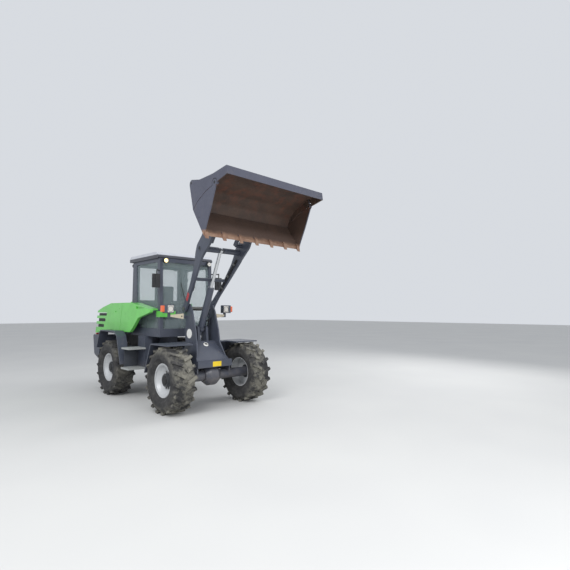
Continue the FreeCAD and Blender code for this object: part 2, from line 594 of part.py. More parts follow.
frame_solid = fused("front_frame_body", [tower, mirrored("tower_left", tower), cheek,
                                         mirrored("cheek_left", cheek),
                                         cheek_foot, mirrored("cheek_foot_left", cheek_foot), neck_end,
                                         deck_solid,
                                         deck_top, bumper] + front_lugs + eye_ledges)
frame_open = cut("front_frame_open", fused("front_frame_shell",
                                           [cut("neck_hollow", neck, [neck_room]), frame_solid,
                                                                 cut("mast_open", mast, [mast_slot])]),
                 [pin("pivot_bore", (S.pivot_x, S.pivot_z), (-600, 600), "arm_pin_radius + pin_clearance"),
                  pin("lift_bore", (S.lift_base_x, S.lift_base_z), (-120, 120),
                      "lift_pin_radius + pin_clearance"),
                  pin("front_axle_room", (0, S.tyre_radius), (-S.half_track, S.half_track),
                      "axle_tube_radius")] + bores)
node("front_frame", frame_open)
node("front_pins", fused("front_pins", [
    pin("arm_pin", (S.pivot_x, S.pivot_z), (-312, 312), "arm_pin_radius"),
    pin("lift_base_pin", (S.lift_base_x, S.lift_base_z), (-110, 110), "lift_pin_radius")]))

# Lamps: headlights on their brackets, work lamps on the roof, lamps at the rear
lamp_bracket = box("lamp_bracket", (-440, -405), (-600, -S.tower_inner - S.tower_plate), (1540, 1575))
lamp_riser = box("lamp_riser", (-440, -405), (-610, -570), (1540, 1640))
lamp = box("lamp_body", (-450, -370), (-700, -520), (1620, 1770))
lens = box("headlight_lens", (-370, -362), (-640, -535), (1635, 1755))
both_sides("headlight", fused("headlight_right", [lamp_bracket, lamp_riser, lamp]))
both_sides("headlight_lens", lens)
both_sides("indicator", slab("indicator",
                             ((-372, 1640, 12), (-372, 1750, 12), (-440, 1750, 12), (-440, 1640, 12)),
                             "-742", "-700"))
work_lamps = []
work_lenses = []
# Columns: x of the lamp's back, which way it faces, x where its stay begins, y
for i, (x, way, root, y) in enumerate(((-838, 1, -880, -470), (-838, 1, -880, 470),
                                       (-2125, -1, -2050, -470), (-2125, -1, -2050, 470))):
    face = x + way * 45
    work_lamps.append(bar("work_lamp%d" % i, (x, y, 2592), (face, y, 2592), "44"))
    work_lamps.append(box("work_lamp_stay%d" % i, sorted((root, x + way * 22)), (y - 15, y + 15),
                          (2600, S.cab_roof_low)))
    work_lenses.append(bar("work_lens%d" % i, (face, y, 2592), (face + way * 6, y, 2592), "39"))
node("work_lamps", cut("work_lamps", fused("work_lamps_all", work_lamps), [shell_outer]))
node("work_lenses", fused("work_lenses", work_lenses))
both_sides("tail_lamp", box("tail_lamp", (back + 8, back + 60), (-690, -590),
                             (S.weight_top + 2, S.weight_top + 30)))
mirror_arm = bar("mirror_arm", (-880, -cab_y + 20, 2400), (-750, -670, 2400), "11")
mirror_rod = bar("mirror_rod", (-750, -670, 2150), (-750, -670, 2412), "11")
mirror_head = box("mirror_head", (-788, -752), (-742, -600), (2080, 2330))
both_sides("mirror", cut("mirror_right", fused("mirror_all", [mirror_arm, mirror_rod, mirror_head]),
                         [shell_outer]))

# Lift arm: two plates that spread towards the bucket, with two cross tubes

arm_side = [arm_point(x, z) + (r,) for x, z, r in (
    (-66, -64, 60), (-66, 66, 60), (140, 45, 100), (550, 15, 300), (950, 45, 200), (1230, 122, 150),
    (1420, 85, 150), (1900, 75, 100), (2336, 70, 65), (2336, -72, 65), (1850, -140, 150), (1440, -205, 150),
    (1154, -135, 150), (740, -100, 200), (310, -60, 200))]
low_y = S.arm_inner_low
high_y = S.arm_inner
blank = slab("arm_blank", arm_side, "-arm_inner - arm_plate", "-arm_inner_low")


def arm_strip(name):
    """The plate's course seen from above the arm, as thick as the plate."""
    course = ((-150, low_y), (120, low_y), (S.arm_spread, high_y), (S.arm_length + 150, high_y))
    outer = [(x, y + S.arm_plate) for x, y in course]
    corners = [Vec(x, -y, -400) for x, y in list(course) + outer[::-1]]
    wire = Part.makePolygon(corners + corners[:1])
    strip = doc.addObject("Part::Feature", name)
    strip.Shape = Part.Face(wire).extrude(Vec(0, 0, 800))
    strip.Placement = FreeCAD.Placement(Vec(S.pivot_x + AXLE_X, 0, S.pivot_z),
                                        FreeCAD.Rotation(Vec(0, 1, 0), -S.arm_angle))
    return strip


arm_right = common("arm_right", blank, arm_strip("arm_strip"))
tube_at = arm_point(636, -12)
lift_eye = arm_point(S.lift_eye_along, S.lift_eye_up)
spread_y = S.arm_inner + S.arm_plate
base_at = arm_point(S.tilt_base_along, S.tilt_base_up)
lever_at = arm_point(S.lever_along, 0)
bucket_at = arm_point(S.arm_length, 0)
tubes = [pin("arm_cross_tube", tube_at, (-325, 325), "cross_tube_radius")]
for i, side in enumerate((-1, 1)):
    tubes.append(pin("lift_eye_tube%d" % i, lift_eye, sorted((side * 50, side * (spread_y - 10))),
                     "lift_tube_radius"))
    tubes.append(pin("tilt_base_tube%d" % i, base_at,
                     sorted((side * (S.tilt_y + 10), side * (spread_y - 10))),
                     "link_eye"))
arm_bores = [pin("arm_low_bore", (S.pivot_x, S.pivot_z), (-600, 600), "arm_pin_radius + pin_clearance"),
             pin("arm_high_bore", bucket_at, (-600, 600), "bucket_pin_radius + pin_clearance"),
             pin("arm_lever_bore", lever_at, (-600, 600), "link_pin_radius + pin_clearance")]
node("lift_arm", cut("lift_arm", fused("lift_arm_body", [arm_right, mirrored("arm_left", arm_right)] + tubes),
                     arm_bores))


def along(start, stop, distance):
    """A point at a distance from one point (x, z) towards another."""
    length = math.dist(start, stop)
    return (start[0] + (stop[0] - start[0]) * distance / length,
            start[1] + (stop[1] - start[1]) * distance / length)


def barrel(name, start, stop, y, length, radius, wall, eye, bore, rod):
    """A cylinder's tube with the eye at its foot and a gland round the rod at its mouth, y its middle."""
    begin = along(start, stop, eye * 0.7)
    end = along(start, stop, length)
    body = bar(name + "_tube", (begin[0], y, begin[1]), (end[0], y, end[1]), radius)
    deep = along(start, stop, eye * 1.5)
    mouth = along(start, stop, length - 50)
    hollow = bar(name + "_hollow", (deep[0], y, deep[1]), (mouth[0], y, mouth[1]), radius + " - " + wall)
    gland = bar(name + "_gland", (mouth[0], y, mouth[1]), (end[0], y, end[1]), rod + " + pin_clearance")
    half = eye * 0.62
    foot = pin(name + "_eye", start, (y - half, y + half), "%s" % eye)
    hole = pin(name + "_bore", start, (y - 200, y + 200), bore)
    return cut(name, fused(name + "_body", [body, foot]), [hollow, gland, hole])


def piston_rod(name, start, stop, y, from_base, radius, eye, bore):
    """A rod from its piston to the eye at its end."""
    begin = along(start, stop, from_base)
    end = along(start, stop, math.dist(start, stop) - eye * 0.7)
    body = bar(name + "_bar", (begin[0], y, begin[1]), (end[0], y, end[1]), radius)
    half = eye * 0.5
    head = pin(name + "_head", stop, (y - half, y + half), "%s" % eye)
    hole = pin(name + "_bore", stop, (y - 200, y + 200), bore)
    return cut(name, fused(name + "_body", [body, head]), [hole])


lift_base = (S.lift_base_x, S.lift_base_z)
node("lift_barrel", barrel("lift_barrel", lift_base, lift_eye, 0, S.lift_barrel, "lift_barrel_radius",
                           "lift_wall",
                           S.lift_eye, "lift_pin_radius + pin_clearance", "lift_rod_radius"))
node("lift_rod", piston_rod("lift_rod", lift_base, lift_eye, 0, S.lift_barrel - 120, "lift_rod_radius",
                            S.lift_eye * 0.8, "lift_pin_radius"))

# Tilt linkage: a lever on each arm, a rod along the arm and a link to the hitch

lever_end = turned(S.lever_length, 0, S.lever_angle)
link_eye = arm_point(S.lever_along + lever_end[0], lever_end[1])
tilt_pin = arm_point(S.arm_length + lever_end[0], lever_end[1])
rod_eye = turned(S.rod_arm, 0, S.rod_arm_angle)
rod_eye = arm_point(S.lever_along + rod_eye[0], rod_eye[1])


def side_disc(name, at, radius, low, high):
    """A round plate across the machine, between two formulas for y."""
    disc = doc.addObject("Part::Cylinder", name)
    disc.Radius = radius
    bound(disc, "Height", "(%s) - (%s)" % (high, low))
    disc.Placement = FreeCAD.Placement(Vec(at[0] + AXLE_X, 0, at[1]), FreeCAD.Rotation(Vec(1, 0, 0), -90))
    bound(disc, "Placement.Base.y", low)
    return disc


def linked(name, start, stop, half, low, high):
    """A flat link with round ends between two points (x, z)."""
    turn = math.degrees(math.atan2(stop[1] - start[1], stop[0] - start[0]))
    length = math.dist(start, stop)
    corners = []
    for u, w in ((0, -S.link_half), (length, -S.link_half), (length, S.link_half), (0, S.link_half)):
        a, b = turned(u, w, turn)
        corners.append((start[0] + a, start[1] + b))
    plate = [slab(name + "_bar", corners, low, high), side_disc(name + "_foot", start, half, low, high),
             side_disc(name + "_head", stop, half, low, high)]
    return fused(name + "_solid", plate)


pieces = {"tilt_barrels": [], "tilt_rods": [], "levers": [], "lever_pins": [], "links": [], "link_pins": []}
for side, word, sign in ((-1, "right", "-"), (1, "left", "")):
    y = side * S.tilt_y
    foot = base_at
    gland = arm_point(S.tilt_base_along + S.tilt_barrel, S.tilt_base_up)
    tube = bar("tilt_tube_" + word, (foot[0], y, foot[1]), (gland[0], y, gland[1]), "tilt_barrel_radius")
    start = along(foot, gland, 45)
    mouth = along(foot, gland, S.tilt_barrel - 30)
    hollow = bar("tilt_hollow_" + word, (start[0], y, start[1]), (mouth[0], y, mouth[1]),
                 "tilt_barrel_radius - 8")
    ring = bar("tilt_gland_" + word, (mouth[0], y, mouth[1]), (gland[0], y, gland[1]),
               "tilt_rod_radius + pin_clearance")
    seat_tube = pin("tilt_seat_" + word, base_at, sorted((side * (S.tilt_y + 10), side * spread_y)),
                    "link_eye")
    pieces["tilt_barrels"].append(cut("tilt_barrel_" + word, tube, [hollow, ring, seat_tube]))
    start = arm_point(S.tilt_base_along + 150, 0)
    stop = (rod_eye[0], rod_eye[1])
    rod_line = arm_point(S.lever_along + S.rod_arm - 25, 0)
    rod = bar("tilt_rod_" + word, (start[0], y, start[1]), (rod_line[0], y, rod_line[1]), "tilt_rod_radius")
    head = pin("tilt_head_" + word, rod_eye, (y - 25, y + 25), "link_eye")
    pieces["tilt_rods"].append(cut("tilt_rod_cut_" + word, fused("tilt_rod_body_" + word, [rod, head]), [
        pin("tilt_head_bore_" + word, rod_eye, (y - 100, y + 100), "15")]))
    edges = ["%slever_in" % sign, "%slever_in %s lever_plate" % (sign, "-" if side < 0 else "+")]
    low, high = edges[::side]
    lever = linked("lever_" + word, lever_at, link_eye, 38, low, high)
    stub = pin("lever_stub_" + word, rod_eye, sorted((side * 285, side * (S.lever_in + 10))), "14")
    tab = linked("lever_tab_" + word, lever_at, rod_eye, 24, low, high)
    pieces["levers"].append(cut("lever_bored_" + word, fused("lever_body_" + word, [lever, stub, tab]), [
        pin("lever_bore_" + word, lever_at, (-600, 600), "link_pin_radius + pin_clearance"),
        pin("lever_end_bore_" + word, link_eye, (-600, 600), "link_pin_radius + pin_clearance")]))
    pieces["lever_pins"].append(pin("lever_pin_" + word, lever_at, sorted((side * 332, side * 425)),
                                    "link_pin_radius"))
    pieces["link_pins"].append(pin("link_pin_" + word, link_eye,
                                   sorted((side * S.link_in, side * (S.lever_in + S.lever_plate))),
                                   "link_pin_radius"))
    edges = ["%slink_in" % sign, "%slink_in %s link_plate" % (sign, "-" if side < 0 else "+")]
    low, high = edges[::side]
    link = linked("link_" + word, link_eye, tilt_pin, S.link_eye, low, high)
    pieces["links"].append(cut("link_bored_" + word, link, [
        pin("link_bore_" + word, link_eye, (-600, 600), "link_pin_radius + pin_clearance"),
        pin("link_far_bore_" + word, tilt_pin, (-600, 600), "link_pin_radius + pin_clearance")]))
for label, halves in pieces.items():
    node(label, fused(label, halves))

# Bucket back with its hitch, and the jaw with the teeth

def bucket_slab(name, corners, low, high):
    return slab(name, [bucket_point(c[0], c[1]) + tuple(c[2:]) for c in corners], low, high)


seam_line = ((-398, 641), (-489, 394), (-521, 141), (-497, 0))
back_side = bucket_slab("back_side", ((-978, 170, 60), (-754, 379, 300), (-564, 662, 300), LIP_TOP,
                                      (-304, 894),
                                      (-392, 672), (-489 - S.seam, 394, 60),
                                      (-521 - S.seam, 141, 60), (-497 - S.seam, 0)),
                        "-bucket_half", "-bucket_half + side_plate")
wall = ((-505, 0), (-600, 150, 120), (-620, 350, 200), (-550, 650, 300), (-411, 949), (-304, 894),
        (-318, 880), (-405, 925, 0), (-535, 645, 290), (-603, 350, 190), (-585, 155, 110), (-505, 20))
wall_outer = ((-505, -5), (-505, 0), (-600, 150, 120), (-620, 350, 200), (-550, 650, 300), (-411, 949),
              (0, 949), (0, -5))
shell = bucket_slab("back_shell", wall, "-bucket_half + side_plate", "bucket_half - side_plate")
jaw_at = bucket_point(-S.jaw_pivot_back, S.jaw_pivot_up)
jaw_room = pin("jaw_room", jaw_at, (-S.bucket_half - 5, S.bucket_half + 5), "jaw_ear + 8")
ears = [pin("jaw_ear%d" % i, jaw_at, y, "jaw_ear - 12")
        for i, y in enumerate(((-S.bucket_half + S.side_plate + 5, -S.bucket_half + S.side_plate + 25),
                               (S.bucket_half - S.side_plate - 25, S.bucket_half - S.side_plate - 5)))]
brackets = [bucket_slab("ear_bracket%d" % i, ((-432, 650), (-420, 590), (-550, 610), (-548, 700)), low, high)
            for i, (low, high) in enumerate((("-bucket_half + side_plate + 5",
                                              "-bucket_half + side_plate + 25"),
                                             ("bucket_half - side_plate - 25",
                                              "bucket_half - side_plate - 5")))]
back_cut = cut("bucket_back_side", fused("back_sides", [back_side, mirrored("back_side_left", back_side)]),
               [jaw_room])
back_all = fused("bucket_back_body", [back_cut, shell] + ears + brackets)
jaw_bore = pin("jaw_bore", jaw_at, (-S.bucket_half - 50, S.bucket_half + 50),
               "jaw_pin_radius + pin_clearance")
node("bucket_back", cut("bucket_back", back_all, [jaw_bore]))
node("jaw_pins", fused("jaw_pins", [pin("jaw_pin%d" % i, jaw_at, y, "jaw_pin_radius") for i, y in enumerate((
    (-S.bucket_half, -S.bucket_half + S.side_plate + 25),
    (S.bucket_half - S.side_plate - 25, S.bucket_half)))]))

jaw_side = bucket_slab("jaw_side", ((-398, 641), (-489, 394, 60), (-521, 141, 60), (-497, 0), (0, 0),
                                    (-60, 90, 40),
                                    (-207, 347, 400)), "-bucket_half", "-bucket_half + side_plate")
jaw_disc = pin("jaw_disc", jaw_at, (-S.bucket_half, -S.bucket_half + S.side_plate), "jaw_ear")
jaw_half = fused("jaw_half", [jaw_side, jaw_disc])
floor = bucket_slab("jaw_floor", ((-497, 0), (0, 0), (-40, 20), (-497, 20)),
                    "-bucket_half + side_plate", "bucket_half - side_plate")
teeth = []
tooth_step = (2 * S.bucket_half - S.tooth_width - 20) / (S.tooth_count - 1)
for i in range(int(S.tooth_count)):
    y = -S.bucket_half + 10 + S.tooth_width / 2 + i * tooth_step
    teeth.append(bucket_slab("tooth%d" % i, ((-90, 0), (55, 4), (-30, 45), (-90, 45)),
                             "%s - tooth_width / 2" % y, "%s + tooth_width / 2" % y))
node("bucket_jaw", cut("bucket_jaw", fused("jaw_body",
                                           [jaw_half, mirrored("jaw_half_left", jaw_half), floor] + teeth),
                       [jaw_bore]))

hitch_side = bucket_slab("hitch_side", ((-600, 130), (-612, 400), (-660, 470, 60), (-840, 360, 40),
                                        (-930, 320, 40),
                                        (-945, 181, 60), (-900, 115, 60), (-760, 110, 40)),
                         "-hitch_in - hitch_plate", "-hitch_in")
hitch_face = bucket_slab("hitch_face", ((-640, 140), (-640, 420), (-665, 420), (-665, 140)), "-hitch_in",
                         "hitch_in")
hitch_stubs = [pin("hitch_stub%d" % i, tilt_pin, y, "link_pin_radius")
               for i, y in enumerate(((-S.hitch_in - 5, -S.link_in + 2), (S.link_in - 2, S.hitch_in + 5)))]
hitch = cut("hitch", fused("hitch_body",
                           [hitch_side, mirrored("hitch_side_left", hitch_side), hitch_face] + hitch_stubs),
            [pin("hitch_bore", bucket_at, (-600, 600), "bucket_pin_radius + pin_clearance"),
             bucket_slab("hitch_clear", wall_outer, "-bucket_half", "bucket_half")])
node("hitch", hitch)
bucket_pins = []
for i, side in enumerate((-1, 1)):
    head = spread_y + S.pin_head_gap
    bucket_pins.append(pin("bucket_pin%d" % i, bucket_at, sorted((side * 332, side * head)),
                           "bucket_pin_radius"))
    bucket_pins.append(pin("bucket_pin_head%d" % i, bucket_at,
                           sorted((side * head, side * (head + S.pin_head))),
                           "pin_head_radius"))
node("bucket_pins", fused("bucket_pins", bucket_pins))

# Steering cylinders between the frames

def steering(side, word):
    """One steering cylinder, level beside the articulation."""
    a = Vec(cyl_base[0] + AXLE_X, side * cyl_base[1], cyl_z)
    b = Vec(cyl_eye[0] + AXLE_X, side * cyl_eye[1], cyl_z)
    run = b - a
    run.normalize()
    tube = Part.makeCylinder(S.steer_barrel_radius, 452, a + run * 58, run)
    tube = tube.cut(Part.makeCylinder(S.steer_barrel_radius - 8, 405, a + run * 75, run))
    tube = tube.cut(Part.makeCylinder(S.steer_rod_radius + S.pin_clearance, 100, a + run * 470, run))
    eye = Part.makeCylinder(35, 40, a - Vec(0, 0, 20))
    body = tube.fuse(eye).fuse(Part.makeCylinder(16, 50, a + run * 20, run))
    body = body.cut(Part.makeCylinder(S.link_pin_radius + S.pin_clearance, 100, a - Vec(0, 0, 50)))
    rod = Part.makeCylinder(S.steer_rod_radius, (b - a).Length - 400 - 25, a + run * 400, run)
    head = Part.makeCylinder(32, 36, b - Vec(0, 0, 18))
    rod = rod.fuse(head).cut(Part.makeCylinder(20, 100, b - Vec(0, 0, 50)))
    for label, shape in (("steer_barrel_" + word, body), ("steer_rod_" + word, rod)):
        piece = doc.addObject("Part::Feature", label)
        piece.Shape = shape
        node(label, piece)


steering(-1, "right")
steering(1, "left")

doc.recompute()
faults = []
for thing in doc.Objects:
    if "Invalid" in thing.State or "Error" in thing.State:
        faults.append(thing.Name)
for label, thing in nodes.items():
    if thing.Shape.isNull() or not thing.Shape.isValid() or not thing.Shape.Solids:
        faults.append(label + " has no valid solid")
if faults:
    raise SystemExit("failed: " + ", ".join(faults))
for label, thing in nodes.items():
    thing.Shape.exportStep("parts/%s.step" % label)
print(len(nodes), "parts written")
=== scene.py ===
"""How the wheel loader looks: worn paint, rubber, glass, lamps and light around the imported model.

Metres, X forward, Y left, Z up. Places are counted from the front axle, from the arm's foot or from
a node's box.
"""

import json
import math

import bmesh
import bpy
from mathutils import Matrix, Vector


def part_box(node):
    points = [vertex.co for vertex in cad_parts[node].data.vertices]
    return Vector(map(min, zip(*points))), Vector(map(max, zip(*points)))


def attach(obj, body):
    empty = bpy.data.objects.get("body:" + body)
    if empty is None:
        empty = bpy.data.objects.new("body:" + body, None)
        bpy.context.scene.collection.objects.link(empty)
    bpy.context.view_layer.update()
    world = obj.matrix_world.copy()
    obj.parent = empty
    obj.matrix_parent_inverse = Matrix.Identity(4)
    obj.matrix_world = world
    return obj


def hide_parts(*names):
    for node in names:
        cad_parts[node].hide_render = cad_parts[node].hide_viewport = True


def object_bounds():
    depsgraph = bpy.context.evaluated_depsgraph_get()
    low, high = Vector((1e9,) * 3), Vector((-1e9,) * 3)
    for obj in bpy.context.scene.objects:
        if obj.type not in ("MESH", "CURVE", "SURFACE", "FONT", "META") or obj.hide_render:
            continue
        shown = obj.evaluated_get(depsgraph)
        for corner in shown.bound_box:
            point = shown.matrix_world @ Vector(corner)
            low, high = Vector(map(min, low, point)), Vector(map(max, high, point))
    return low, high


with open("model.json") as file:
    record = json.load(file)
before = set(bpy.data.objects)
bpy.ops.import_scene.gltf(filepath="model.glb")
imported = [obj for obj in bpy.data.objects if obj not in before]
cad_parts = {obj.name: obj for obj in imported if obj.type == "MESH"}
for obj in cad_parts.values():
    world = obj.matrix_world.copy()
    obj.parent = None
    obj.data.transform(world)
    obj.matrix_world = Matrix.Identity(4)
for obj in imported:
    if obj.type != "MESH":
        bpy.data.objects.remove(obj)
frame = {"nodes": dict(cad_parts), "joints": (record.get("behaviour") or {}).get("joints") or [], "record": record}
cad_low, cad_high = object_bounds()
nodes = frame["nodes"]
record = frame["record"]
joints = {joint["name"]: joint for joint in frame["joints"]}

AXLE = Vector(joints["wheel_fr_spin"]["pos_m"])
REAR_AXLE = Vector(joints["wheel_rr_spin"]["pos_m"])
ARM_FOOT = Vector(joints["lift"]["pos_m"])
ARM_TIP = Vector(joints["bucket_pins_turn"]["pos_m"])
ALONG_ARM = (ARM_TIP - ARM_FOOT).normalized()
OFF_ARM = Vector((-ALONG_ARM.z, 0, ALONG_ARM.x))
BUCKET_MIDDLE = Vector((2.19, 0, 3.13))
SIDES = (("right", -1), ("left", 1))
CLOTH_FRAMES = 20


def at(x, y, z):
    """A place counted forward from the front axle."""
    return Vector((AXLE.x + x, y, z))


def on_arm(along, off, y):
    """A place counted along the arm from its foot, and square to it."""
    return ARM_FOOT + ALONG_ARM * along + OFF_ARM * off + Vector((0, y, 0))


# Camera, fitted to the photograph's viewpoint

VIEW_FROM = at(6.275, -4.152, 1.643)
VIEW_YAW = math.radians(136.45)
VIEW_PITCH = math.radians(3.71)
VIEW_ROLL = math.radians(0.11)

camera_data = bpy.data.cameras.new("photo_view")
camera_data.lens = 26.29
camera_data.sensor_width = 36
camera = bpy.data.objects.new("photo_view", camera_data)
bpy.context.scene.collection.objects.link(camera)
turn = (Matrix.Rotation(VIEW_YAW - math.pi / 2, 4, "Z") @ Matrix.Rotation(math.pi / 2 + VIEW_PITCH, 4, "X")
        @ Matrix.Rotation(VIEW_ROLL, 4, "Z"))
camera.matrix_world = Matrix.Translation(VIEW_FROM) @ turn
bpy.context.scene.camera = camera
bpy.context.scene.view_settings.view_transform = "Standard"


# Materials

def srgb(red, green, blue):
    """A colour given as 0 to 255 in sRGB, as the linear one a shader takes."""
    linear = []
    for part in (red, green, blue):
        part = part / 255
        linear.append(part / 12.92 if part <= 0.04045 else ((part + 0.055) / 1.055) ** 2.4)
    return tuple(linear) + (1.0,)


def new_material(name):
    made = bpy.data.materials.new(name)
    made.use_nodes = True
    return made, made.node_tree, made.node_tree.nodes["Principled BSDF"]


def coordinate(tree, output="Object"):
    """Where the surface is on the part at rest, or its normal there."""
    return tree.nodes.new("ShaderNodeTexCoord").outputs[output]


def noise(tree, scale, detail=4.0, rough=0.6):
    """Noise over the surface, from 0 to 1, with scale in waves per metre."""
    made = tree.nodes.new("ShaderNodeTexNoise")
    made.inputs["Scale"].default_value = scale
    made.inputs["Detail"].default_value = detail
    made.inputs["Roughness"].default_value = rough
    tree.links.new(coordinate(tree), made.inputs["Vector"])
    return made.outputs["Fac"]


def between(tree, value, start, stop, low=0.0, high=1.0):
    """Runs a value from start to stop onto low to high."""
    made = tree.nodes.new("ShaderNodeMapRange")
    for name, number in (("From Min", start), ("From Max", stop), ("To Min", low), ("To Max", high)):
        made.inputs[name].default_value = number
    tree.links.new(value, made.inputs["Value"])
    return made.outputs["Result"]


def mixed(tree, share, first, second):
    """A colour between two, each a socket or a colour."""
    made = tree.nodes.new("ShaderNodeMix")
    made.data_type = "RGBA"
    tree.links.new(share, made.inputs["Factor"])
    for name, colour in (("A", first), ("B", second)):
        socket = [s for s in made.inputs if s.name == name and s.type == "RGBA"][0]
        if isinstance(colour, tuple):
            socket.default_value = colour
        else:
            tree.links.new(colour, socket)
    return [s for s in made.outputs if s.type == "RGBA"][0]


def maths(tree, operation, first, second=None):
    """A Math node on two values, each a socket or a number."""
    made = tree.nodes.new("ShaderNodeMath")
    made.operation = operation
    for i, value in enumerate((first, second)):
        if isinstance(value, (int, float)):
            made.inputs[i].default_value = value
        elif value is not None:
            tree.links.new(value, made.inputs[i])
    return made.outputs[0]


def axis_of(tree, vector, axis):
    split = tree.nodes.new("ShaderNodeSeparateXYZ")
    tree.links.new(vector, split.inputs["Vector"])
    return split.outputs[axis]


def facing(tree, point):
    """Above 0 where the surface faces a point of the part, below 0 where it looks away."""
    away = tree.nodes.new("ShaderNodeVectorMath")
    away.operation = "SUBTRACT"
    away.inputs[0].default_value = point
    tree.links.new(coordinate(tree), away.inputs[1])
    dot = tree.nodes.new("ShaderNodeVectorMath")
    dot.operation = "DOT_PRODUCT"
    tree.links.new(away.outputs["Vector"], dot.inputs[0])
    tree.links.new(coordinate(tree, "Normal"), dot.inputs[1])
    return dot.outputs["Value"]


def radius_from(tree, centre):
    """Distance from a wheel's axis."""
    place = coordinate(tree)
    across = maths(tree, "SUBTRACT", axis_of(tree, place, "X"), centre.x)
    up = maths(tree, "SUBTRACT", axis_of(tree, place, "Z"), centre.z)
    return maths(tree, "SQRT", maths(tree, "ADD", maths(tree, "MULTIPLY", across, across),
                                     maths(tree, "MULTIPLY", up, up)))


DIRT = srgb(146, 134, 118)
MUD = srgb(140, 137, 125)
RUST = srgb(112, 66, 44)
TREAD_HEIGHTS = (0.585, 0.955)
BUCKET_RUST = (3.15, 3.42)
BUCKET_BEND = (2.90, 3.02)
BUCKET_EDGE = (2.77, 2.84)
TEETH = (2.78, 2.81)


def finish_surface(made, tree, shader, colour, rough, metal, bump, bump_scale, coat=0.0):
    tree.links.new(colour, shader.inputs["Base Color"])
    shader.inputs["Metallic"].default_value = metal
    shader.inputs["Coat Weight"].default_value = coat
    glossiest = max(rough - 0.08, 0.05)
    dullest = min(rough + 0.12, 1.0)
    uneven = between(tree, noise(tree, 22, 5), 0.25, 0.75, glossiest, dullest)
    tree.links.new(uneven, shader.inputs["Roughness"])
    if bump > 0:
        relief = tree.nodes.new("ShaderNodeBump")
        relief.inputs["Strength"].default_value = bump
        relief.inputs["Distance"].default_value = 0.004
        tree.links.new(noise(tree, bump_scale, 6), relief.inputs["Height"])
        tree.links.new(relief.outputs["Normal"], shader.inputs["Normal"])
    return made


def weathered(tree, colour, dirt, rust, patch, low_dirt=0.0):
    """A colour with uneven tone, dust, rust spots and dirt that thins upwards."""
    if isinstance(colour, tuple):
        darker = tuple(c * 0.86 for c in colour[:3]) + (1.0,)
        colour = mixed(tree, between(tree, noise(tree, patch, 3), 0.3, 0.7), darker, colour)
    if dirt > 0:
        spread = between(tree, noise(tree, patch * 2.3, 8, 0.7), 0.55, 0.9, 0.0, dirt)
        colour = mixed(tree, spread, colour, DIRT)
    if low_dirt > 0:
        height = between(tree, axis_of(tree, coordinate(tree), "Z"), low_dirt, 0.15)
        splashes = between(tree, noise(tree, 9, 8, 0.7), 0.3, 0.7, 0, 0.8)
        colour = mixed(tree, maths(tree, "MULTIPLY", height, splashes), colour, DIRT)
    if rust > 0:
        spots = between(tree, noise(tree, 14, 10, 0.75), 0.76 - rust * 0.3, 0.8 - rust * 0.2)
        colour = mixed(tree, spots, colour, RUST)
    return colour


def surface(name, colour, rough=0.5, metal=0.0, dirt=0.3, rust=0.0, bump=0.0, bump_scale=60, low_dirt=0.0,
            coat=0.0):
    """Paint, steel or plastic."""
    made, tree, shader = new_material(name)
    worn = weathered(tree, colour, dirt, rust, 5.0, low_dirt)
    return finish_surface(made, tree, shader, worn, rough, metal, bump, bump_scale, coat)


def split_by_height(name, below, above, height, rough):
    """One paint above a height and another below it."""
    made, tree, shader = new_material(name)
    share = between(tree, axis_of(tree, coordinate(tree), "Z"), height - 0.004, height + 0.004)
    colour = mixed(tree, share, weathered(tree, below, 0.15, 0, 5), weathered(tree, above, 0.25, 0, 5))
    return finish_surface(made, tree, shader, colour, rough, 0.0, 0.03, 60, 0.2)


def step_paint(name):
    """Dark panels with pale worn treads."""
    made, tree, shader = new_material(name)
    height = axis_of(tree, coordinate(tree), "Z")
    pale = between(tree, axis_of(tree, coordinate(tree, "Normal"), "Z"), 0.4, 0.6)
    for tread in TREAD_HEIGHTS:
        away = maths(tree, "ABSOLUTE", maths(tree, "SUBTRACT", height, tread))
        pale = maths(tree, "MAXIMUM", pale, between(tree, away, 0.018, 0.014))
    panel = weathered(tree, srgb(70, 74, 82), 0.3, 0.02, 6)
    worn = weathered(tree, srgb(168, 171, 170), 0.5, 0.03, 6)
    return finish_surface(made, tree, shader, mixed(tree, pale, panel, worn), 0.6, 0.1, 0.3, 80)


def bucket_steel(name):
    """Grey-violet paint outside; inside, worn brown with rust and a lighter scoured strip at the edge."""
    made, tree, shader = new_material(name)
    outside = weathered(tree, srgb(80, 82, 96), 0.22, 0.04, 3)
    streaks = between(tree, noise(tree, 3, 8, 0.7), 0.35, 0.65)
    worn = mixed(tree, streaks, srgb(66, 53, 47), srgb(82, 64, 54))
    height = maths(tree, "ADD", axis_of(tree, coordinate(tree), "Z"),
                   between(tree, noise(tree, 6, 4), 0, 1, -0.05, 0.05))
    rusty = maths(tree, "MULTIPLY", between(tree, height, *BUCKET_RUST),
                  between(tree, noise(tree, 5, 9, 0.75), 0.48, 0.66))
    worn = mixed(tree, rusty, worn, srgb(104, 66, 52))
    worn = mixed(tree, between(tree, height, *reversed(BUCKET_BEND)), worn, srgb(94, 77, 69))
    scratches = between(tree, noise(tree, 9, 8), 0.35, 0.7)
    scoured = mixed(tree, scratches, srgb(150, 122, 102), srgb(122, 90, 74))
    worn = mixed(tree, between(tree, height, *reversed(BUCKET_EDGE)), worn, scoured)
    inside = between(tree, facing(tree, BUCKET_MIDDLE), 0.0, 0.004)
    colour = mixed(tree, inside, outside, worn)
    colour = mixed(tree, between(tree, height, *reversed(TEETH)), colour, scoured)
    return finish_surface(made, tree, shader, colour, 0.6, 0.1, 0.25, 40)


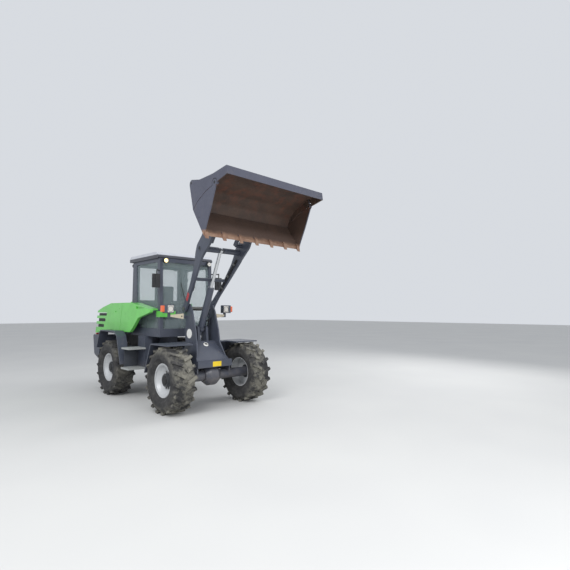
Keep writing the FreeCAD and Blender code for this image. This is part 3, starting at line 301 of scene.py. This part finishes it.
def tyre_rubber(name, centre, mud):
    """Black rubber, with dry mud on the tread blocks and patches of dust all over."""
    made, tree, shader = new_material(name)
    rubber = mixed(tree, between(tree, noise(tree, 6, 4), 0.3, 0.7), srgb(38, 38, 40), srgb(62, 61, 61))
    reach = between(tree, radius_from(tree, centre), 0.40, 0.52)
    patches = between(tree, noise(tree, 5, 9, 0.72), 0.45, 0.58, 0.0, mud)
    colour = mixed(tree, maths(tree, "MULTIPLY", reach, patches), rubber, MUD)
    dust = between(tree, noise(tree, 12, 9, 0.75), 0.5, 0.75, 0.0, 0.35)
    colour = mixed(tree, dust, colour, srgb(104, 103, 98))
    return finish_surface(made, tree, shader, colour, 0.85, 0.0, 0.5, 70)


def rim_paint(name, centre):
    """Silver paint, and a dark hub in the middle."""
    made, tree, shader = new_material(name)
    silver = weathered(tree, srgb(198, 200, 202), 0.35, 0.0, 6)
    hub = between(tree, radius_from(tree, centre), 0.125, 0.115)
    colour = mixed(tree, hub, silver, weathered(tree, srgb(62, 64, 68), 0.25, 0.0, 6))
    return finish_surface(made, tree, shader, colour, 0.42, 0.25, 0.05, 60)


def glass(name, tint, alpha):
    """A thin pane, seen through, with smears in its gloss."""
    made, tree, shader = new_material(name)
    shader.inputs["Alpha"].default_value = alpha
    darker = tuple(c * 0.8 for c in tint[:3]) + (1.0,)
    colour = mixed(tree, between(tree, noise(tree, 3, 5), 0.3, 0.7), tint, darker)
    tree.links.new(colour, shader.inputs["Base Color"])
    tree.links.new(between(tree, noise(tree, 5, 6), 0.3, 0.9, 0.03, 0.15), shader.inputs["Roughness"])
    return made


def ribbed(name, colour, waves, rough=0.3, glow=0.0):
    """A lamp's lens: moulded ribs under a clear coat."""
    made, tree, shader = new_material(name)
    ribs = tree.nodes.new("ShaderNodeTexWave")
    ribs.bands_direction = "Y"
    ribs.inputs["Scale"].default_value = waves
    tree.links.new(coordinate(tree), ribs.inputs["Vector"])
    dark = tuple(c * 0.7 for c in colour[:3]) + (1.0,)
    tree.links.new(mixed(tree, ribs.outputs["Fac"], dark, colour), shader.inputs["Base Color"])
    relief = tree.nodes.new("ShaderNodeBump")
    relief.inputs["Strength"].default_value = 0.4
    relief.inputs["Distance"].default_value = 0.003
    tree.links.new(ribs.outputs["Fac"], relief.inputs["Height"])
    tree.links.new(relief.outputs["Normal"], shader.inputs["Normal"])
    shader.inputs["Roughness"].default_value = rough
    shader.inputs["Coat Weight"].default_value = 0.6
    if glow > 0:
        shader.inputs["Emission Color"].default_value = colour
        shader.inputs["Emission Strength"].default_value = glow
    return made


def fabric(name, colour):
    """Woven seat cloth."""
    made, tree, shader = new_material(name)
    weave = tree.nodes.new("ShaderNodeTexChecker")
    weave.inputs["Scale"].default_value = 260
    weave.inputs["Color1"].default_value = colour
    weave.inputs["Color2"].default_value = tuple(c * 0.55 for c in colour[:3]) + (1.0,)
    tree.links.new(coordinate(tree), weave.inputs["Vector"])
    colour = weathered(tree, weave.outputs["Color"], 0.2, 0, 5)
    return finish_surface(made, tree, shader, colour, 0.92, 0.0, 0.5, 300)


GREEN = surface("green_paint", srgb(106, 200, 88), rough=0.32, dirt=0.14, bump=0.02, coat=0.4)
DARK = surface("dark_paint", srgb(69, 74, 87), rough=0.42, dirt=0.22, rust=0.02, bump=0.05, low_dirt=0.75,
               coat=0.15)
ROOF = split_by_height("roof_paint", srgb(62, 64, 72), srgb(196, 199, 206), cad_low[2] + 2.705, 0.45)
STEP = step_paint("step_paint")
BUCKET = bucket_steel("bucket_paint")
STEEL = surface("pin_steel", srgb(120, 120, 118), rough=0.4, metal=0.9, dirt=0.3)
CHROME = surface("rod_chrome", srgb(212, 214, 217), rough=0.14, metal=1.0, dirt=0.1)
PLASTIC = surface("cab_plastic", srgb(44, 46, 50), rough=0.6, dirt=0.15, bump=0.2, bump_scale=300)
TRIM = surface("trim_black", srgb(34, 35, 38), rough=0.55, dirt=0.2, bump=0.15, bump_scale=200)
ENGINE = surface("engine_grey", srgb(58, 58, 60), rough=0.6, metal=0.3, dirt=0.4, rust=0.1, bump=0.3)
SEAT = fabric("seat_fabric", srgb(58, 61, 68))
GLASS = glass("pane_glass", srgb(176, 194, 196), 0.2)
LENS = ribbed("lamp_lens", srgb(226, 222, 214), 60)
# The orange lenses are unlit; their faint emission is a painted glow, not a lamp that is on.
ORANGE_LENS_PAINTED_GLOW = ribbed("lamp_orange", srgb(226, 98, 40), 70, glow=0.15)
RED = ribbed("lamp_red", srgb(176, 30, 26), 70)
LIT = ribbed("lamp_lit", srgb(255, 226, 150), 50, glow=2.2)
YELLOW = surface("plate_yellow", srgb(232, 200, 40), rough=0.5, dirt=0.3)
WHITE = surface("disc_white", srgb(236, 236, 232), rough=0.5, dirt=0.2)
RED_PAINT = surface("block_red", srgb(176, 62, 66), rough=0.5, dirt=0.3)
CREAM = surface("bracket_cream", srgb(206, 196, 172), rough=0.55, dirt=0.4, rust=0.1)
HOSE = surface("hose_rubber", srgb(28, 29, 31), rough=0.6, dirt=0.25, bump=0.2, bump_scale=200)

BY_SLOT = {
    "body_paint": GREEN, "dark_paint": DARK, "roof_paint": ROOF, "bucket_paint": BUCKET,
    "tread_paint": STEP, "pin_steel": STEEL, "rod_chrome": CHROME, "pane_glass": GLASS,
    "seat_fabric": SEAT, "cab_plastic": PLASTIC, "trim_black": TRIM, "lamp_lens": LENS,
    "lamp_orange": ORANGE_LENS_PAINTED_GLOW, "lamp_red": RED,
}


def paint(name, material):
    """Gives a whole node one material."""
    shown = nodes[name]
    for i in range(len(shown.material_slots)):
        shown.material_slots[i].material = material


for part in record["subparts"]:
    if part["material_slot"] in BY_SLOT:
        paint(part["node"], BY_SLOT[part["material_slot"]])
paint("engine", ENGINE)
FRONT_TYRE = tyre_rubber("tyre_muddy", AXLE, 0.7)
REAR_TYRE = tyre_rubber("tyre_dusty", REAR_AXLE, 0.35)
for end, centre, rubber in (("front", AXLE, FRONT_TYRE), ("rear", REAR_AXLE, REAR_TYRE)):
    rim = rim_paint("rim_paint_" + end, centre)
    for side, _ in SIDES:
        paint("tyre_%s_%s" % (end, side), rubber)
        paint("rim_%s_%s" % (end, side), rim)


# Pieces

def piece(name, mesh, material, body):
    """A mesh as a named piece that rides on a body."""
    made = bpy.data.objects.new(name, mesh)
    bpy.context.scene.collection.objects.link(made)
    mesh.materials.append(material)
    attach(made, body)
    return made


def bevelled(made, width, segments=2):
    edge = made.modifiers.new("edge", "BEVEL")
    edge.width = width
    edge.segments = segments
    edge.limit_method = "ANGLE"
    return made


def smooth(mesh, angle=40):
    for face in mesh.polygons:
        face.use_smooth = True
    mesh.set_sharp_from_angle(angle=math.radians(angle))


def prism(name, outline, reach, material, body, bevel=0.002):
    """A flat outline of points, thickened by the vector reach."""
    mesh = bpy.data.meshes.new(name)
    count = len(outline)
    points = [Vector(p) for p in outline] + [Vector(p) + Vector(reach) for p in outline]
    faces = [tuple(range(count))[::-1], tuple(range(count, 2 * count))]
    faces += [(i, (i + 1) % count, (i + 1) % count + count, i + count) for i in range(count)]
    mesh.from_pydata(points, [], faces)
    solid = bmesh.new()
    solid.from_mesh(mesh)
    bmesh.ops.recalc_face_normals(solid, faces=solid.faces)
    solid.to_mesh(mesh)
    solid.free()
    return bevelled(piece(name, mesh, material, body), bevel)


def block(name, low, high, material, body, bevel=0.003):
    """A box between two corners, with eased edges."""
    (x0, y0, z0), (x1, y1, z1) = low, high
    outline = ((x0, y0, z0), (x1, y0, z0), (x1, y1, z0), (x0, y1, z0))
    return prism(name, outline, (0, 0, z1 - z0), material, body, bevel)


def lathe(name, centre, axis, profile, material, body, sides=32):
    """A closed profile of (distance along the axis, radius) turned about it."""
    axis = Vector(axis).normalized()
    first = axis.orthogonal().normalized()
    second = axis.cross(first)
    mesh = bpy.data.meshes.new(name)
    points = []
    for i in range(sides):
        turn_by = 2 * math.pi * i / sides
        out = first * math.cos(turn_by) + second * math.sin(turn_by)
        points += [Vector(centre) + axis * along + out * radius for along, radius in profile]
    count = len(profile)
    faces = []
    for i in range(sides):
        after = (i + 1) % sides
        for j in range(count - 1):
            faces.append((i * count + j, after * count + j, after * count + j + 1, i * count + j + 1))
    mesh.from_pydata(points, [], faces)
    solid = bmesh.new()
    solid.from_mesh(mesh)
    bmesh.ops.remove_doubles(solid, verts=solid.verts, dist=1e-5)
    bmesh.ops.recalc_face_normals(solid, faces=solid.faces)
    solid.to_mesh(mesh)
    solid.free()
    smooth(mesh)
    return piece(name, mesh, material, body)


def pipe(name, points, radius, material, body, order=3):
    """A bent pipe or a fixed hose along a smooth line."""
    data = bpy.data.curves.new(name, "CURVE")
    data.dimensions = "3D"
    data.bevel_depth = radius
    data.bevel_resolution = 3
    data.use_fill_caps = True
    line = data.splines.new("NURBS")
    line.points.add(len(points) - 1)
    for spot, point in zip(line.points, points):
        spot.co = (*point, 1.0)
    line.order_u = order
    line.use_endpoint_u = True
    line.resolution_u = 8
    made = bpy.data.objects.new(name, data)
    bpy.context.scene.collection.objects.link(made)
    data.materials.append(material)
    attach(made, body)
    return made


def many_bolts(name, places, axis, radius, height, material, body):
    """Hexagon heads at several places, as one piece."""
    axis = Vector(axis).normalized()
    first = axis.orthogonal().normalized()
    second = axis.cross(first)
    points = []
    faces = []
    for place in places:
        start = len(points)
        for along, size in ((0, 1.0), (height * 0.8, 1.0), (height, 0.86)):
            for i in range(6):
                turn_by = math.pi * i / 3
                out = first * math.cos(turn_by) + second * math.sin(turn_by)
                points.append(Vector(place) + axis * along + out * radius * size)
        for ring in (0, 6):
            faces += [(start + ring + i, start + ring + (i + 1) % 6, start + ring + 6 + (i + 1) % 6,
                       start + ring + 6 + i) for i in range(6)]
        faces += [tuple(start + 12 + i for i in range(6)), tuple(start + i for i in range(6))[::-1]]
    mesh = bpy.data.meshes.new(name)
    mesh.from_pydata(points, [], faces)
    solid = bmesh.new()
    solid.from_mesh(mesh)
    bmesh.ops.recalc_face_normals(solid, faces=solid.faces)
    solid.to_mesh(mesh)
    solid.free()
    return piece(name, mesh, material, body)


def apply_last(made):
    """Turns what an object's modifiers give into its mesh."""
    shown = made.evaluated_get(bpy.context.evaluated_depsgraph_get())
    mesh = bpy.data.meshes.new_from_object(shown)
    made.modifiers.clear()
    made.data = mesh


def cushion(name, low, high, swell):
    """A foam pad, blown up by a cloth simulation and held near the space of its solid."""
    mesh = bpy.data.meshes.new(name)
    solid = bmesh.new()
    bmesh.ops.create_cube(solid, size=1.0)
    low, high = Vector(low), Vector(high)
    for vert in solid.verts:
        vert.co = Vector([low[i] if vert.co[i] < 0 else high[i] for i in range(3)])
    bmesh.ops.bevel(solid, geom=solid.edges[:], offset=0.035, segments=4, affect="EDGES", profile=0.5)
    solid.to_mesh(mesh)
    solid.free()
    pad = piece(name, mesh, SEAT, "root")
    scene = bpy.context.scene
    bpy.context.view_layer.objects.active = pad
    remesh = pad.modifiers.new("remesh", "REMESH")
    remesh.mode = "VOXEL"
    remesh.voxel_size = 0.006
    apply_last(pad)
    start = [vert.co.copy() for vert in pad.data.vertices]
    cloth = pad.modifiers.new("cloth", "CLOTH")
    cloth.settings.use_pressure = True
    cloth.settings.uniform_pressure_force = 4
    cloth.settings.effector_weights.gravity = 0
    cloth.point_cache.frame_start = 1
    cloth.point_cache.frame_end = CLOTH_FRAMES
    for tick in range(1, CLOTH_FRAMES + 1):
        scene.frame_set(tick)
    apply_last(pad)
    scene.frame_set(1)
    for vert, before in zip(pad.data.vertices, start):
        move = vert.co - before
        if move.length > swell:
            vert.co = before + move * (swell / move.length)
    pad.modifiers.new("round", "SUBSURF").levels = 1
    apply_last(pad)
    smooth(pad.data, 60)
    return pad


# Wheels: nuts round the hub, a hub cap and a bead ring

HUB_FACE = 0.04
NUT_COUNT = 10
NUT_CIRCLE = 0.135
for end, centre in (("front", AXLE), ("rear", REAR_AXLE)):
    for side, way in SIDES:
        body = "wheel_" + end[0] + side[0]
        hub = Vector((centre.x, way * abs(centre.y), centre.z))
        nuts = []
        for i in range(NUT_COUNT):
            turn_by = 2 * math.pi * i / NUT_COUNT
            spot = (math.cos(turn_by) * NUT_CIRCLE, way * (HUB_FACE - 0.001), math.sin(turn_by) * NUT_CIRCLE)
            nuts.append(hub + Vector(spot))
        many_bolts("wheel_nuts_%s_%s" % (end, side), nuts, (0, way, 0), 0.014, 0.02, STEEL, body)
        lathe("hub_cap_%s_%s" % (end, side), hub + Vector((0, way * 0.099, 0)), (0, way, 0),
              ((0, 0), (0, 0.075), (0.012, 0.07), (0.02, 0.05), (0.02, 0)), TRIM, body)
        lathe("bead_ring_%s_%s" % (end, side), hub + Vector((0, way * 0.124, 0)), (0, way, 0),
              ((-0.004, 0.25), (-0.004, 0.268), (0.012, 0.276), (0.018, 0.27), (0.012, 0.25), (-0.004, 0.25)),
              nodes["rim_%s_%s" % (end, side)].material_slots[0].material, body, 64)

# Front frame: blank plate, blank disc, tow pin, hoses between the towers, which also serve as painted shade for
# the dark gap there

# Real hoses, set here also to darken the gap between the towers: partly real hoses, partly painted shade.
SHADE_FILLING_HOSES = ((-0.37, 0.185, 1.50), (-0.42, 0.165, 1.58), (-0.47, 0.19, 1.46))

plate_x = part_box("front_frame")[1].x
block("number_plate", (plate_x - 0.001, -0.055, 0.700), (plate_x + 0.003, 0.12, 0.785), YELLOW, "front",
      0.001)
lathe("speed_disc", at(-0.30, -0.2505, 1.255), (0, -1, 0), ((0, 0), (0, 0.085), (0.003, 0.083), (0.003, 0)),
      WHITE,
      "front", 48)
lathe("deck_pin_ring", at(-0.16, 0, 1.045), (0.6, 0, 0.8),
      ((0, 0.035), (0.018, 0.048), (0.036, 0.035), (0.018, 0.022), (0, 0.035)), WHITE, "front",
      24)
lathe("deck_pin", at(-0.16, 0, 1.04), (0.6, 0, 0.8),
      ((0, 0), (0, 0.024), (0.04, 0.024), (0.045, 0.018), (0.045, 0)),
      STEEL, "front", 20)

for side, way in SIDES:
    for i, (x, bow, top) in enumerate(SHADE_FILLING_HOSES):
        pipe("shade_filling_tower_hose%d_%s" % (i, side),
             (at(x + 0.05, way * 0.15, 1.055), at(x + 0.045, way * 0.15, 1.16),
              at(x, way * (bow - 0.03), 1.25), at(x - 0.01, way * bow, 1.38), at(x + 0.01, way * bow, top),
              at(x + 0.01, way * 0.231, top + 0.03)),
             0.011, HOSE, "front")

# Lamps

TAIL_LAMP_Y = 0.64
SEAL_HALF = 0.046
tail_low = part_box("tail_lamp")[0]
for side, way in SIDES:
    block("tail_lamp_seal_" + side, (tail_low.x + 0.004, way * TAIL_LAMP_Y - SEAL_HALF, tail_low.z - 0.004),
          (tail_low.x + 0.048, way * TAIL_LAMP_Y + SEAL_HALF, tail_low.z + 0.001), TRIM, "root",
          0.0005)
glow_x, glow_y, glow_z = AXLE.x - 0.787, -0.47, 2.592
lathe("lit_lamp", (glow_x, glow_y, glow_z), (1, 0, 0),
      ((0, 0), (0, 0.036), (0.003, 0.034), (0.005, 0.02), (0.006, 0)),
      LIT, "root", 32)
for side, way in SIDES:
    lathe("headlight_rim_" + side, at(-0.368, way * 0.5875, 1.695), (1, 0, 0),
          ((0, 0.047), (0, 0.052), (0.008, 0.052), (0.008, 0.047), (0, 0.047)), TRIM, "front",
          32)
    prism("headlight_bracket_" + side, [at(-0.404, way * y, z) for y, z in
                                        ((0.313, 1.515), (0.57, 1.555), (0.57, 1.59), (0.313, 1.612))],
          (0.005, 0, 0), CREAM, "front", 0.001)
    # The bracket's hole is a flat dark disc: painted shade in place of an open hole.
    lathe("headlight_bracket_hole_" + side, at(-0.3992, way * 0.35, 1.562), (1, 0, 0),
          ((0, 0), (0, 0.014), (0.001, 0.013), (0.001, 0)), TRIM, "front", 20)

# Cab: green band round its right front corner, seat, console, wiper

BAND = ((-0.93, -0.574), (-0.797, -0.574), (-0.797, -0.25), (-0.811, -0.25), (-0.811, -0.559),
        (-0.93, -0.559))
prism("corner_band", [at(x, y, 1.545) for x, y in BAND],
      (-0.005, 0, 0.11), GREEN, "root", 0.003)

windscreen_low, windscreen_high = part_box("windscreen")
wiper_foot = Vector((windscreen_high.x + 0.012, 0.05, 1.45))
wiper_tip = Vector((windscreen_low.x + 0.040, -0.12, 2.2))
pipe("wiper_arm", (wiper_foot, wiper_foot.lerp(wiper_tip, 0.5) + Vector((0.012, 0, 0)), wiper_tip), 0.006,
     TRIM, "root")

base = at(0, 0, 0)
pad = cushion("seat_cushion", base + Vector((-1.700, -0.225, 1.575)), base + Vector((-1.265, 0.225, 1.660)),
              0.014)
rest = cushion("seat_backrest", base + Vector((-1.790, -0.215, 1.625)),
               base + Vector((-1.705, 0.215, 2.185)), 0.012)
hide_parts("seat")
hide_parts("seat")
for i, y in enumerate((-0.11, 0.0, 0.11)):
    pipe("seat_seam%d" % i, (base + Vector((-1.66, y, 1.671)), base + Vector((-1.30, y, 1.671))), 0.0035,
         TRIM, "root",
         2)
block("seat_shell", base + Vector((-1.800, -0.17, 1.62)), base + Vector((-1.789, 0.17, 2.12)), PLASTIC,
      "root",
      0.004)
block("side_console", base + Vector((-1.62, -0.43, 1.22)), base + Vector((-1.24, -0.27, 1.66)), PLASTIC,
      "root",
      0.02)
pipe("lever_loader", (base + Vector((-1.30, -0.35, 1.655)), base + Vector((-1.28, -0.35, 1.76)),
                      base + Vector((-1.24, -0.34, 1.83))), 0.008, TRIM, "root")
KNOB = ((0, 0), (0, 0.016), (0.03, 0.024), (0.055, 0.018), (0.062, 0))
lathe("lever_knob", base + Vector((-1.24, -0.34, 1.825)), (0.3, 0, 1), KNOB, TRIM, "root", 20)
block("dashboard", base + Vector((-1.02, -0.16, 1.62)), base + Vector((-0.93, 0.16, 1.76)), PLASTIC, "root",
      0.02)

# Bucket and jaw: the holes in their plates, drawn as dark discs of painted shade

# Each hole is a flat dark disc laid on the plate: painted shade in place of an open hole.
for i, (x, z, body, wide) in enumerate(((1.822, 3.56, "bucket", 0.02), (2.438, 3.437, "bucket", 0.022),
                                        (2.057, 3.003, "jaw", 0.012))):
    for side, way in SIDES:
        lathe("plate_hole_painted_shade%d_%s" % (i, side), (x, way * 0.9648, z), (0, way, 0),
              ((0, 0), (0, wide), (0.001, wide - 0.002), (0.001, 0)), TRIM, body, 20)

# Arms: the red block low on the right arm, pipes along both, clamps

def plate_face(along, outer=True):
    """How far out the arm plate's face is; the plates spread between their foot and the lift cylinder."""
    return (0.302 if outer else 0.262) + 0.1204 * min(max(along - 0.12, 0), 0.98)


for side, way in SIDES:
    prism("red_block_" + side, [on_arm(along, off, way * (plate_face(along) - 0.0005)) for along, off in
                                ((0.18, -0.04), (0.34, -0.05), (0.34, 0.02), (0.18, 0.025))],
          (0, way * 0.002, 0), RED_PAINT, "arm", 0.0005)
    lathe("lift_eye_ring_" + side, on_arm(1.223, 0.012, way * 0.4195), (0, way, 0),
          ((0, 0.03), (0, 0.046), (0.006, 0.044), (0.006, 0.032), (0, 0.03)), DARK, "arm", 40)
    lathe("lift_eye_cap_" + side, on_arm(1.223, 0.012, way * 0.4195), (0, way, 0),
          ((0, 0), (0, 0.031), (0.002, 0.03), (0.002, 0)), TRIM, "arm", 40)
    for i, off in enumerate((-0.028, -0.052)):
        run = [0.42 + 0.085 * step for step in range(9)]
        route = [on_arm(a, off, way * (plate_face(a, False) - 0.0105)) for a in run]
        pipe("arm_pipe%d_%s" % (i, side), route, 0.011, HOSE, "arm")
    for i, along in enumerate((0.5, 0.75, 1.0)):
        corners = ((along - 0.015, -0.07), (along + 0.015, -0.07), (along + 0.015, -0.01),
                   (along - 0.015, -0.01))
        prism("pipe_clamp%d_%s" % (i, side), [on_arm(a, off, way * (plate_face(a, False) + 0.0005))
                                              for a, off in corners],
              (0, -way * 0.0265, 0), STEEL, "arm", 0.002)

# Floor and light

floor_mesh = bpy.data.meshes.new("floor")
REACH = 60.0
floor_mesh.from_pydata([(-REACH, -REACH, 0), (REACH, -REACH, 0), (REACH, REACH, 0), (-REACH, REACH, 0)], [],
                       [(0, 1, 2, 3)])
floor = bpy.data.objects.new("floor", floor_mesh)
bpy.context.scene.collection.objects.link(floor)
floor_paint, floor_tree, floor_shader = new_material("floor_pale")
floor_tree.links.new(mixed(floor_tree, between(floor_tree, noise(floor_tree, 0.4, 2), 0.3, 0.7),
                           srgb(196, 196, 195),
                           srgb(201, 201, 199)), floor_shader.inputs["Base Color"])
floor_shader.inputs["Roughness"].default_value = 0.9
floor_mesh.materials.append(floor_paint)

world = bpy.data.worlds.new("sky")
bpy.context.scene.world = world
world.use_nodes = True
world.node_tree.nodes["Background"].inputs["Color"].default_value = srgb(232, 236, 242)
world.node_tree.nodes["Background"].inputs["Strength"].default_value = 0.85


def soft_light(name, place, aim, power, size):
    data = bpy.data.lights.new(name, "AREA")
    data.energy = power
    data.size = size
    lamp = bpy.data.objects.new(name, data)
    bpy.context.scene.collection.objects.link(lamp)
    lamp.location = place
    lamp.rotation_euler = (Vector(aim) - Vector(place)).to_track_quat("-Z", "Y").to_euler()


soft_light("key", (5.5, -7.5, 8.5), (0, 0, 1.2), 740, 5.0)
soft_light("fill", (2.0, 8.0, 6.0), (0, 0, 1.5), 350, 6.0)
soft_light("front", (9.0, -1.0, 3.0), (1.5, 0, 2.4), 180, 4.0)
